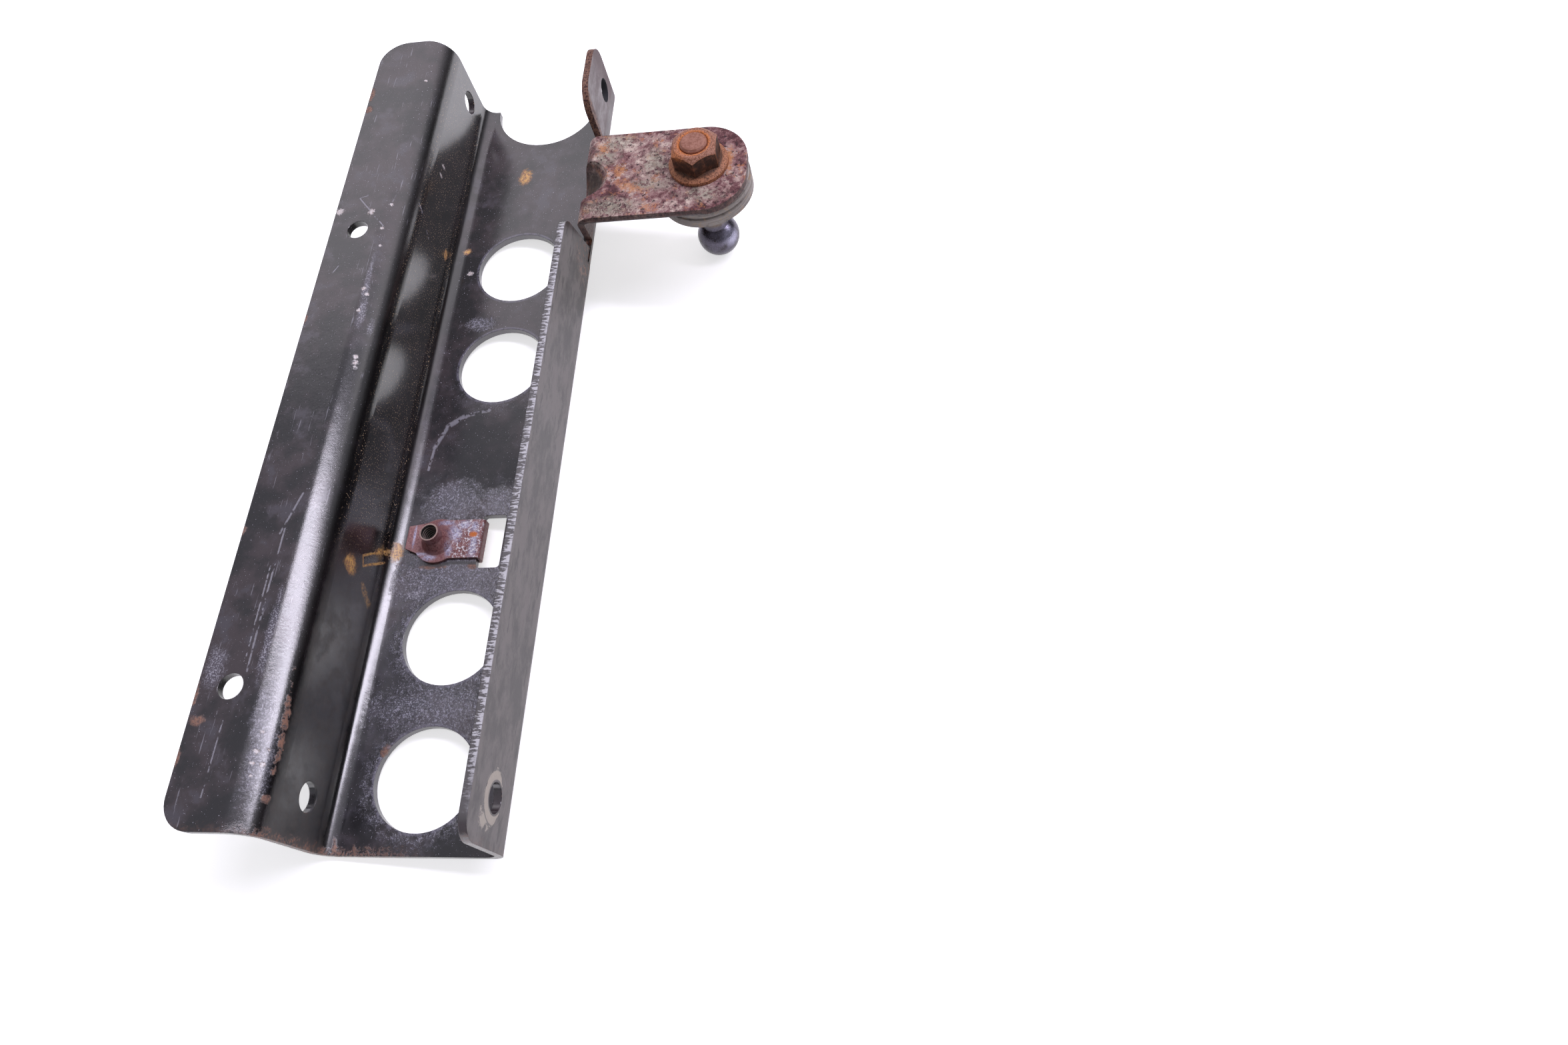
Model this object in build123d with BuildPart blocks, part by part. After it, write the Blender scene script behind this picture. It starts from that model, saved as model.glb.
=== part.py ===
from build123d import *
import os
from math import cos, pi, radians, tan

# Seat bracket, in millimetres. X runs across the channel, Y along it and Z up.
# The origin is the middle of the row of lightening holes, on the floor's underside.

# Sheet and folds
sheet = 2.0
outer_bend = 8.0  # top radius, outer flange to web
web_bend = 3.8  # inside radius, web to floor
wall_bend = 3.3  # inside radius, floor to inner wall

# Channel and outer flange
channel_width = 44.0  # clear width between the web and the inner wall
plate_length = 245.1
near_hole_inset = 18.3  # from the near end to the outermost lightening hole
flange_top = 32.2
flange_width = 22.0  # free edge to the web's inner face
flange_near_corner = 7.5
flange_far_corner = 8.5

# Inner wall, the gap for the arm, and the ear at the far end
wall_top = 26.9
wall_length = 171.7  # along the top, from the near end to where the edge slants on
wall_slant = 6.4
wall_near_corner = 5.5
wall_far_corner = 5.0
ear_length = 25.1
ear_near_corner = 7.5
ear_far_corner = 7.0
relief_floor = 6.5  # height at which the cuts beside the arm stop
relief_corner = 5.0
slit_corner = 0.6

# Floor: lightening holes, half-round end and the clip's slot
lightening_radius = 13.0
inner_hole_y = 42.5
outer_hole_y = 79.1
end_cut_radius = 17.2
end_cut_overhang = 0.3  # centre of the half-round beyond the far end
slot_width = 6.7
slot_length = 15.7
slot_left = 3.1
slot_y = -15.2
slot_corner = 1.0

# Bolt holes
cross_hole_radius = 3.6
cross_hole_z = 13.6
near_cross_inset = 11.4  # from the near end
far_cross_inset = 7.6  # from the far end
flange_hole_radius = 3.1
flange_hole_inset = 8.3  # from the flange's free edge
near_flange_hole_inset = 32.5
far_flange_hole_inset = 77.2

# Side arm, with a dart pressed into its bend
arm_gap = 1.2  # slit between the arm and the long wall, at its narrowest
arm_width = 32.2
arm_top = 24.5
arm_reach = 53.0  # from the inside of the inner wall to the arm's tip
arm_lean = 12.0  # degrees that the wall under the arm leans out
arm_bend = 4.5
arm_slant = 8.5  # of the near edge of the wall under the arm
arm_corner = 13.0
dart_inset = 15.5  # from the arm's near edge
dart_reach = 7.5  # from the bend's corner to where the dart runs out on the arm
dart_radius = 8.5

# Ball stud, its washer and its nut
stud_tip_inset = 14.1  # from the arm's tip
stud_far_inset = 14.6  # from the arm's far edge
shank_radius = 3.95
shank_clearance = 0.25  # in the arm and the washer
shank_proud = 0.7  # above the nut
shank_chamfer = 0.6
disc_radius = 14.3
disc_height = 6.9
disc_foot_chamfer = 1.3
disc_edge_chamfer = 0.5
groove_depth = 0.45
groove_drop = 2.4  # from the disc's top to its groove
collar_radius = 8.0
collar_height = 9.0
neck_radius = 3.9
ball_radius = 6.55
ball_drop = 17.4  # from the disc's underside to the ball's centre
washer_radius = 13.9
washer_height = 3.0
washer_chamfer = 0.35
nut_sides = 6
nut_flats = 12.8
nut_turn = 30  # degrees about the stud, which puts a corner toward the near end
nut_height = 8.0
nut_top_inset = 0.6  # from the flats in to the circle of the top face
nut_corner_drop = 1.3  # how far the top chamfer runs down the hexagon's corners
nut_flange_radius = 8.75
nut_rim = 1.0
nut_cone = 2.3  # height at which the flange's cone meets the hexagon
nut_bore_chamfer = 0.45
thread_clearance = 0.05

# Clip nut folded round the slot's edge
clip_sheet = 0.8
clip_clearance = 0.05
clip_fold_gap = 0.15  # to the slot's edge
clip_fold_radius = 0.2
clip_strip = 11.4
clip_strip_shift = 0.6  # along the slot, from its middle
clip_pad_radius = 6.5
clip_tab_width = 6.6
clip_tab_shift = 1.1
clip_tab_length = 3.7
clip_tab_rise = 0.7
clip_upper_reach = 16.6  # from the slot's edge to the foot of the tab
clip_lower_reach = 17.0
clip_tube_reach = 11.7
clip_tube_shift = 0.2
clip_tube_height = 6.2  # above the floor
clip_tube_radius = 2.55
clip_cone_radius = 4.4
clip_cone_height = 2.6
clip_thread_radius = 2.05
clip_screw_radius = 3.6  # clearance hole in the lower leaf
floor_screw_radius = 3.8  # clearance hole in the floor

near_end = -outer_hole_y - near_hole_inset
far_end = near_end + plate_length
half_channel = channel_width / 2
flange_edge = -half_channel - flange_width
bend_line = half_channel - wall_bend - sheet
wall_end = near_end + wall_length
ear_start = far_end - ear_length
arm_near = wall_end + arm_gap
arm_far = arm_near + arm_width
arm_tip = half_channel + arm_reach
lean = tan(radians(arm_lean))
arm_foot = half_channel - wall_bend * lean
arm_knee = arm_foot + (arm_top - sheet) * lean
dart_y = arm_near + dart_inset
near_cross_y = near_end + near_cross_inset
far_cross_y = far_end - far_cross_inset
flange_hole_x = flange_edge + flange_hole_inset
near_flange_hole_y = near_end + near_flange_hole_inset
far_flange_hole_y = far_end - far_flange_hole_inset
stud_x = arm_tip - stud_tip_inset
stud_y = arm_far - stud_far_inset
disc_top = arm_top - sheet - washer_height
disc_bottom = disc_top - disc_height
ball_z = disc_bottom - ball_drop
nut_top = arm_top + nut_height
stud_top = nut_top + shank_proud
clip_y = slot_y + clip_strip_shift
clip_tab_y = slot_y + clip_tab_shift
clip_tube_x = slot_left - clip_tube_reach
clip_tube_y = slot_y + clip_tube_shift
clip_upper_end = slot_left - clip_upper_reach
clip_lower_end = slot_left - clip_lower_reach
stud_axis = Axis((stud_x, stud_y, 0), (0, 0, 1))
stud_plane = Plane(origin=(stud_x, stud_y, 0), x_dir=(1, 0, 0), z_dir=(0, -1, 0))


def wall_tab(start, end, foot, start_corner, end_corner):
    # The side view of a stretch of inner wall, which is kept out of the waste
    with BuildLine() as outline:
        FilletPolyline(
            (start, relief_floor), (start, wall_top), (end, wall_top), (foot, relief_floor),
            radius=(start_corner, end_corner),
        )
        Line((foot, relief_floor), (start, relief_floor))
    make_face(outline.edges(), mode=Mode.SUBTRACT)


with BuildPart() as dart_rib:
    # Rounded rib under the arm's bend, along a line that slopes down at 45 degrees
    valley_end = Vector(arm_knee + dart_reach, dart_y, arm_top)
    dart_axis_point = valley_end + Vector(-1, 0, 1).normalized() * dart_radius
    dart_plane = Plane(origin=dart_axis_point, x_dir=(0, 1, 0), z_dir=(-1, 0, -1))
    with BuildSketch(dart_plane):
        Circle(dart_radius + sheet)
    extrude(amount=2 * dart_reach, both=True)
    with BuildSketch(Plane.XZ.offset(-arm_far)):
        with BuildLine():
            FilletPolyline(
                (arm_foot, sheet), (arm_knee, arm_top), (arm_tip, arm_top), (arm_tip, sheet),
                radius=(arm_bend, sheet),
            )
            Line((arm_tip, sheet), (arm_foot, sheet))
        make_face()
    extrude(amount=arm_width, mode=Mode.INTERSECT)

with BuildPart() as side_arm:
    # The arm with its leaning wall and its share of the floor's bend
    with BuildSketch(Plane.XZ.offset(-arm_far)):
        with BuildLine():
            FilletPolyline(
                (bend_line, sheet), (arm_foot, sheet), (arm_knee, arm_top), (arm_tip, arm_top),
                radius=(wall_bend, arm_bend),
            )
            offset(amount=sheet, side=Side.RIGHT)
        make_face()
    extrude(amount=arm_width)
    fillet(side_arm.edges().filter_by(Axis.Z).group_by(Axis.X)[-1], radius=arm_corner)

    # Slanted near edge of the wall under the arm, which leaves a slit beside the long wall
    with BuildSketch(Plane.YZ.offset(bend_line)):
        with BuildLine():
            Polyline(
                (arm_near, arm_top - sheet), (arm_near, relief_floor),
                (arm_near + arm_slant, relief_floor),
                close=True,
            )
        make_face()
    extrude(amount=arm_knee + arm_bend - bend_line, mode=Mode.SUBTRACT)

    # Dart across the bend: the rib below, then the valley above
    add(dart_rib.part)
    with BuildSketch(dart_plane):
        Circle(dart_radius)
    extrude(amount=2 * dart_reach, both=True, mode=Mode.SUBTRACT)

    # Hole for the stud
    with BuildSketch(Plane.XY.offset(arm_top - sheet)):
        with Locations((stud_x, stud_y)):
            Circle(shank_radius + shank_clearance)
    extrude(amount=sheet, mode=Mode.SUBTRACT)

with BuildPart() as bracket:
    # One plate folded along its length: outer flange, web, floor and inner wall
    with BuildSketch(Plane.XZ.offset(-far_end)):
        with BuildLine():
            FilletPolyline(
                (flange_edge, flange_top), (-half_channel, flange_top), (-half_channel, sheet),
                (half_channel, sheet), (half_channel, wall_top),
                radius=(outer_bend, web_bend, wall_bend),
            )
            offset(amount=sheet, side=Side.RIGHT)
        make_face()
    extrude(amount=far_end - near_end)

    # Corners of the outer flange
    flange_corners = bracket.edges().filter_by(Axis.Z).group_by(Axis.X)[0].sort_by(Axis.Y)
    fillet(flange_corners[0], radius=flange_near_corner)
    flange_corners = bracket.edges().filter_by(Axis.Z).group_by(Axis.X)[0].sort_by(Axis.Y)
    fillet(flange_corners[-1], radius=flange_far_corner)

    # Inner wall cut to its outline: the long stretch, the gap and the ear
    with BuildSketch(Plane.YZ.offset(bend_line)):
        with Locations(((near_end + far_end) / 2, relief_floor)):
            Rectangle(far_end - near_end, wall_top, align=(Align.CENTER, Align.MIN))
        wall_tab(near_end, wall_end, wall_end + wall_slant, wall_near_corner, wall_far_corner)
        wall_tab(ear_start, far_end, far_end, ear_near_corner, ear_far_corner)
        fillet(vertices().sort_by_distance((ear_start, relief_floor))[0], radius=relief_corner)
        slit_foot = (wall_end + wall_slant, relief_floor)
        fillet(vertices().sort_by_distance(slit_foot)[0], radius=slit_corner)
    extrude(amount=wall_bend + 2 * sheet, mode=Mode.SUBTRACT)

    # The wall's bend gives way to the arm's own section over the arm's width
    with BuildSketch(Plane.XY.offset(-sheet)):
        with Locations((bend_line, arm_near)):
            Rectangle(wall_bend + 3 * sheet, arm_width, align=(Align.MIN, Align.MIN))
    extrude(amount=relief_floor + sheet, mode=Mode.SUBTRACT)
    add(side_arm.part)

    # Floor openings
    with BuildSketch(Plane.XY):
        with Locations((0, -outer_hole_y), (0, -inner_hole_y), (0, inner_hole_y), (0, outer_hole_y)):
            Circle(lightening_radius)
        with Locations((0, far_end + end_cut_overhang)):
            Circle(end_cut_radius)
        with Locations((slot_left + slot_width / 2, slot_y)):
            RectangleRounded(slot_width, slot_length, slot_corner)
        with Locations((clip_tube_x, clip_tube_y)):
            Circle(floor_screw_radius)
    extrude(amount=sheet, mode=Mode.SUBTRACT)

    # Cross holes through the web and the inner wall, one pair at each end
    with BuildSketch(Plane.YZ.offset(-half_channel - sheet)):
        with Locations((near_cross_y, cross_hole_z), (far_cross_y, cross_hole_z)):
            Circle(cross_hole_radius)
    extrude(amount=channel_width + 2 * sheet, mode=Mode.SUBTRACT)

    # Bolt holes in the outer flange
    with BuildSketch(Plane.XY.offset(flange_top - sheet)):
        with Locations((flange_hole_x, near_flange_hole_y), (flange_hole_x, far_flange_hole_y)):
            Circle(flange_hole_radius)
    extrude(amount=sheet, mode=Mode.SUBTRACT)

with BuildPart() as ball_stud:
    # Shank, grooved disc, collar and neck turned about one axis, with the ball at the foot
    groove_z = disc_top - groove_drop
    with BuildSketch(stud_plane):
        with BuildLine():
            Polyline(
                (0, ball_z),
                (neck_radius, ball_z),
                (neck_radius, disc_bottom - collar_height),
                (collar_radius, disc_bottom),
                (disc_radius - disc_foot_chamfer, disc_bottom),
                (disc_radius, disc_bottom + disc_foot_chamfer),
                (disc_radius, groove_z - groove_depth),
                (disc_radius - groove_depth, groove_z),
                (disc_radius, groove_z + groove_depth),
                (disc_radius, disc_top - disc_edge_chamfer),
                (disc_radius - disc_edge_chamfer, disc_top),
                (shank_radius, disc_top),
                (shank_radius, stud_top - shank_chamfer),
                (shank_radius - shank_chamfer, stud_top),
                (0, stud_top),
                close=True,
            )
        make_face()
    revolve(axis=stud_axis)
    with Locations((stud_x, stud_y, ball_z)):
        Sphere(ball_radius)

with BuildPart() as stud_washer:
    # Thick washer between the stud's disc and the arm
    with BuildSketch(Plane.XY.offset(disc_top)):
        with Locations((stud_x, stud_y)):
            Circle(washer_radius)
            Circle(shank_radius + shank_clearance, mode=Mode.SUBTRACT)
    extrude(amount=washer_height)
    rims = stud_washer.edges().filter_by(GeomType.CIRCLE).sort_by(SortBy.RADIUS)[-2:]
    chamfer(rims, length=washer_chamfer)

with BuildPart() as flange_nut:
    # Hexagon on a low cone, with a chamfered top and bore
    with BuildSketch(Plane.XY.offset(arm_top)):
        with Locations((stud_x, stud_y)):
            RegularPolygon(nut_flats / 2, nut_sides, major_radius=False, rotation=nut_turn)
    extrude(amount=nut_height)
    half_flats = nut_flats / 2
    top_radius = half_flats - nut_top_inset
    corner_reach = half_flats / cos(pi / nut_sides) - top_radius
    rim_drop = nut_corner_drop * (nut_flats - top_radius) / corner_reach
    with BuildSketch(stud_plane):
        with BuildLine():
            Polyline(
                (top_radius, nut_top),
                (nut_flats, nut_top),
                (nut_flats, nut_top - rim_drop),
                close=True,
            )
        make_face()
    revolve(axis=stud_axis, mode=Mode.SUBTRACT)
    with BuildSketch(stud_plane):
        with BuildLine():
            Polyline(
                (0, arm_top),
                (nut_flange_radius, arm_top),
                (nut_flange_radius, arm_top + nut_rim),
                (half_flats, arm_top + nut_cone),
                (0, arm_top + nut_cone),
                close=True,
            )
        make_face()
    revolve(axis=stud_axis)
    nut_bore = shank_radius + thread_clearance
    with BuildSketch(stud_plane):
        with BuildLine():
            Polyline(
                (0, arm_top),
                (nut_bore, arm_top),
                (nut_bore, nut_top - nut_bore_chamfer),
                (nut_bore + nut_bore_chamfer, nut_top),
                (0, nut_top),
                close=True,
            )
        make_face()
    revolve(axis=stud_axis, mode=Mode.SUBTRACT)

with BuildPart() as clip_nut:
    # A strip folded round the slot's left edge, over and under the floor
    upper = sheet + clip_clearance
    fold_x = slot_left + clip_fold_gap
    tab_end = clip_upper_end - clip_tab_length
    with BuildSketch(Plane.XZ.offset(-clip_tube_y - clip_pad_radius)):
        with BuildLine():
            Line((tab_end, upper + clip_tab_rise), (clip_upper_end, upper))
            FilletPolyline(
                (clip_upper_end, upper), (fold_x, upper), (fold_x, -clip_clearance),
                (clip_lower_end, -clip_clearance),
                radius=clip_fold_radius,
            )
            offset(amount=clip_sheet, side=Side.LEFT)
        make_face()
    extrude(amount=2 * clip_pad_radius)

    # The strip's outline seen from above: a round pad at the thread and a narrow tab
    strip_end = fold_x + clip_sheet
    strip_start = clip_upper_end + clip_tab_length
    with BuildSketch(Plane.XY.offset(-sheet)):
        with BuildLine():
            Polyline(
                (strip_start, clip_y - clip_strip / 2),
                (strip_end, clip_y - clip_strip / 2),
                (strip_end, clip_y + clip_strip / 2),
                (strip_start, clip_y + clip_strip / 2),
                (tab_end, clip_tab_y + clip_tab_width / 2),
                (tab_end, clip_tab_y - clip_tab_width / 2),
                close=True,
            )
        make_face()
        with Locations((clip_tube_x, clip_tube_y)):
            Circle(clip_pad_radius)
    extrude(amount=4 * sheet, mode=Mode.INTERSECT)

    # Threaded tube drawn up out of the upper leaf, and the screw's way in from below
    tube_top = sheet + clip_tube_height
    leaf_top = upper + clip_sheet
    with BuildSketch(Plane(origin=(clip_tube_x, clip_tube_y, 0), x_dir=(1, 0, 0), z_dir=(0, -1, 0))):
        with BuildLine():
            Polyline(
                (0, upper),
                (clip_cone_radius, upper),
                (clip_cone_radius, leaf_top),
                (clip_tube_radius, leaf_top + clip_cone_height),
                (clip_tube_radius, tube_top),
                (0, tube_top),
                close=True,
            )
        make_face()
    revolve(axis=Axis((clip_tube_x, clip_tube_y, 0), (0, 0, 1)))
    with BuildSketch(Plane.XY.offset(upper)):
        with Locations((clip_tube_x, clip_tube_y)):
            Circle(clip_thread_radius)
    extrude(amount=clip_tube_height, mode=Mode.SUBTRACT)
    with BuildSketch(Plane.XY.offset(-clip_clearance)):
        with Locations((clip_tube_x, clip_tube_y)):
            Circle(clip_screw_radius)
    extrude(amount=-clip_sheet, mode=Mode.SUBTRACT)

bracket.part.label = "bracket"
ball_stud.part.label = "ball_stud"
stud_washer.part.label = "stud_washer"
flange_nut.part.label = "flange_nut"
clip_nut.part.label = "clip_nut"

os.makedirs("parts", exist_ok=True)
export_step(bracket.part, "parts/bracket.step")
export_step(ball_stud.part, "parts/ball_stud.step")
export_step(stud_washer.part, "parts/stud_washer.step")
export_step(flange_nut.part, "parts/flange_nut.step")
export_step(clip_nut.part, "parts/clip_nut.step")
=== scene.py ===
import math

import bpy
from mathutils import Matrix, Vector


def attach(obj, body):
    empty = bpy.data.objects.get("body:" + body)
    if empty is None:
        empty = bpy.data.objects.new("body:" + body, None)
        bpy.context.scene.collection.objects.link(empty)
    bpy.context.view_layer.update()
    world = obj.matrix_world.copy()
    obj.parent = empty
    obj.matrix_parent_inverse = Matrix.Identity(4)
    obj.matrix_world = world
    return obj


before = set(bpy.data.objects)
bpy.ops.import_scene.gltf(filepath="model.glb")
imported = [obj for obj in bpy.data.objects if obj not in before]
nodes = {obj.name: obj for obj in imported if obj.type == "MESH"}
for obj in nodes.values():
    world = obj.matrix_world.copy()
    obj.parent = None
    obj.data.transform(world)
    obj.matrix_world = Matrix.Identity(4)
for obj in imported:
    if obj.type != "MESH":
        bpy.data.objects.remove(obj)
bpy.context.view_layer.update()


print("frame loaded:", sorted(nodes))


class Wire:
    # one socket of a node tree, which takes part in Python maths
    def __init__(self, tree, socket):
        self.tree = tree
        self.socket = socket

    def math(self, operation, *values):
        node = self.tree.nodes.new("ShaderNodeMath")
        node.operation = operation
        for place, value in enumerate(values):
            if isinstance(value, Wire):
                self.tree.links.new(value.socket, node.inputs[place])
            else:
                node.inputs[place].default_value = value
        return Wire(self.tree, node.outputs[0])

    def __add__(self, other):
        return self.math("ADD", self, other)

    def __radd__(self, other):
        return self.math("ADD", other, self)

    def __sub__(self, other):
        return self.math("SUBTRACT", self, other)

    def __rsub__(self, other):
        return self.math("SUBTRACT", other, self)

    def __mul__(self, other):
        return self.math("MULTIPLY", self, other)

    def __rmul__(self, other):
        return self.math("MULTIPLY", other, self)

    def __truediv__(self, other):
        return self.math("DIVIDE", self, other)

    def most(self, other):
        return self.math("MAXIMUM", self, other)

    def least(self, other):
        return self.math("MINIMUM", self, other)

    def size(self):
        return self.math("ABSOLUTE", self)


class Nodes:
    # a node tree, which any node is added to by one method
    def __init__(self, tree):
        self.tree = tree

    def make(self, kind, settings=None, sockets=None, output=0):
        node = self.tree.nodes.new(kind)
        for name, value in (settings or {}).items():
            if name == "stops":
                ramp = node.color_ramp
                while len(ramp.elements) < len(value):
                    ramp.elements.new(1.0)
                for stop, (position, colour) in zip(ramp.elements, value):
                    stop.position = position
                    stop.color = (*colour, 1.0)
            else:
                setattr(node, name, value)
        for name, value in (sockets or {}).items():
            if isinstance(value, Wire):
                self.tree.links.new(value.socket, node.inputs[name])
            else:
                node.inputs[name].default_value = value
        return Wire(self.tree, node.outputs[output])

    def vector(self, operation, first, second=None, output=0, **named):
        sockets = {0: first}
        if second is not None:
            sockets[1] = second
        sockets.update(named)
        return self.make("ShaderNodeVectorMath", {"operation": operation}, sockets, output)

    def split(self, vector):
        node = self.make("ShaderNodeSeparateXYZ", sockets={0: vector}).socket.node
        return [Wire(self.tree, out) for out in node.outputs]

    def step(self, value, low, high):
        # 0 at low, 1 at high and smooth between them
        sockets = {"Value": value, "From Min": low, "From Max": high}
        return self.make("ShaderNodeMapRange", {"interpolation_type": "SMOOTHSTEP"}, sockets)

    def ramp(self, factor, stops):
        return self.make("ShaderNodeValToRGB", {"stops": stops}, {"Fac": factor})

    def blend(self, factor, first, second):
        node = self.make("ShaderNodeMix", {"data_type": "RGBA"}).socket.node
        colours = [s for s in node.inputs if s.type == "RGBA"]
        for socket, value in zip([node.inputs["Factor"]] + colours, (factor, first, second)):
            if isinstance(value, Wire):
                self.tree.links.new(value.socket, socket)
            elif socket.type == "RGBA":
                socket.default_value = (*value, 1.0)
            else:
                socket.default_value = value
        return Wire(self.tree, [s for s in node.outputs if s.type == "RGBA"][0])

    def union(self, masks):
        total = None
        for mask in masks:
            total = mask if total is None else total.most(mask)
        return total


class Finish(Nodes):
    # a procedural material; places in its patterns are in millimetres
    def __init__(self, name):
        self.material = bpy.data.materials.new(name)
        self.material.use_nodes = True
        super().__init__(self.material.node_tree)
        self.tree.nodes.clear()
        self.out = self.tree.nodes.new("ShaderNodeOutputMaterial")
        place = self.make("ShaderNodeTexCoord", output="Object")
        normal = self.make("ShaderNodeTexCoord", output="Normal")
        self.place = self.vector("SCALE", place, Scale=1000)
        self.x, self.y, self.z = self.split(self.place)
        self.nx, self.ny, self.nz = self.split(normal)

    def noise(self, scale, detail=3.0, rough=0.55, stretch=None, shift=0.0):
        # scale is in waves per millimetre, and shift tells equal noises apart
        place = self.place
        if stretch:
            place = self.vector("MULTIPLY", place, stretch)
        if shift:
            place = self.vector("ADD", place, (shift, shift * 0.7, -shift * 1.3))
        sockets = {"Vector": place, "Scale": scale, "Detail": detail, "Roughness": rough}
        return self.make("ShaderNodeTexNoise", sockets=sockets)

    def flakes(self, scale, wander, wanderScale=1.3):
        # a random value for each cell of a crust, with borders that wander by some millimetres
        sockets = {"Vector": self.place, "Scale": wanderScale, "Detail": 3.0}
        drift = self.make("ShaderNodeTexNoise", sockets=sockets, output=1)
        drift = self.vector("SCALE", self.vector("SUBTRACT", drift, (0.5,) * 3), Scale=wander)
        sockets = {"Vector": self.vector("ADD", self.place, drift), "Scale": scale}
        return self.split(self.make("ShaderNodeTexVoronoi", sockets=sockets, output=1))[0]

    def blot(self, centre, reach, soft=0.35, ragged=None, rough=1.6):
        # an ellipsoid round a point, 1 inside; the ragged noise eats its rim
        away = self.vector("DIVIDE", self.vector("SUBTRACT", self.place, centre), reach)
        distance = self.vector("LENGTH", away, output=1)
        if ragged is not None:
            distance = distance + (ragged - 0.5) * rough
        return self.step(distance, 1 + soft, 1 - soft)

    def stroke(self, start, end, width, soft=0.4, ragged=None, rough=2.0):
        # a line between two points, 1 along its middle
        run = Vector(end) - Vector(start)
        away = self.vector("SUBTRACT", self.place, start)
        along = self.vector("DOT_PRODUCT", away, tuple(run), output=1) / run.length_squared
        nearest = self.vector("SCALE", tuple(run), Scale=along.most(0.0).least(1.0))
        distance = self.vector("LENGTH", self.vector("SUBTRACT", away, nearest), output=1)
        distance = distance / width
        if ragged is not None:
            distance = distance + (ragged - 0.5) * rough
        return self.step(distance, 1 + soft, 1 - soft)

    def blots(self, places, soft, ragged, rough):
        return self.union(self.blot(*place, soft, ragged, rough) for place in places)

    def strokes(self, lines, soft, ragged, rough):
        return self.union(self.stroke(*line, soft, ragged, rough) for line in lines)

    def ring(self, centre, sideways=False):
        # distance from an upright axis, or from one along x
        flat = (0, 1, 1) if sideways else (1, 1, 0)
        away = self.vector("MULTIPLY", self.vector("SUBTRACT", self.place, centre), flat)
        return self.vector("LENGTH", away, output=1)

    def edges(self, radius):
        # the normal of rounded edges, and how near an edge a point is
        bevel = self.make("ShaderNodeBevel", {"samples": 4}, {"Radius": radius / 1000})
        face = self.make("ShaderNodeNewGeometry", output="True Normal")
        turn = self.vector("DOT_PRODUCT", bevel, face, output=1)
        return bevel, self.step(turn, 0.99, 0.85)

    def bump(self, height, normal):
        # height is in millimetres
        sockets = {"Height": height, "Strength": 1.0, "Distance": 0.001, "Normal": normal}
        return self.make("ShaderNodeBump", sockets=sockets)

    def shade(self, sockets):
        return self.make("ShaderNodeBsdfPrincipled", sockets=sockets)

    def finish(self, shader):
        self.tree.links.new(shader.socket, self.out.inputs["Surface"])
        return self.material


paint = {
    "black": (0.007, 0.006, 0.009),
    "brownish": (0.042, 0.029, 0.034),
    "grey": (0.066, 0.062, 0.080),
    "deep": (0.004, 0.0038, 0.0036),  # painted shade on the web's face towards the wall
    "umber": (0.030, 0.021, 0.016),  # clouds on the near half of that face
    "lilac": (0.20, 0.19, 0.25),
    "bare": (0.42, 0.41, 0.47),
    "darkRust": (0.085, 0.035, 0.026),
    "rust": (0.26, 0.115, 0.065),
    "index": 2.0,
    "smooth": 0.14,
    "round": 0.35,  # radius of the rounded edges
}

# borders of the plate's parts: a mask is 0 at the first number and 1 at the second
borders = {
    "armNear": (81.6, 82.2), "armFar": (108.6, 108.0), "armSide": (21.6, 23.0),
    "armUp": (3.0, 7.5),
    "earNear": (120.5, 122.0), "earUp": (5.0, 9.0), "earSide": (21.4, 21.9),
    "flangeUp": (26, 30), "flangeSide": (-21, -25), "flangeEnd": (-24, -22),
    "webSkin": (22.7, 22.2), "webSide": (-18, -20), "webUp": (3.5, 5), "webDull": (-12, -50),
    "floorDown": (2.7, 2.3), "floorSide": (-21, -19),
    "wallSide": (23.6, 23.9), "wallSkin": (24.6, 24.2),
    "topUp": (26.4, 26.8), "topNear": (75, 74), "topSide": (21.5, 22),
}


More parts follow.
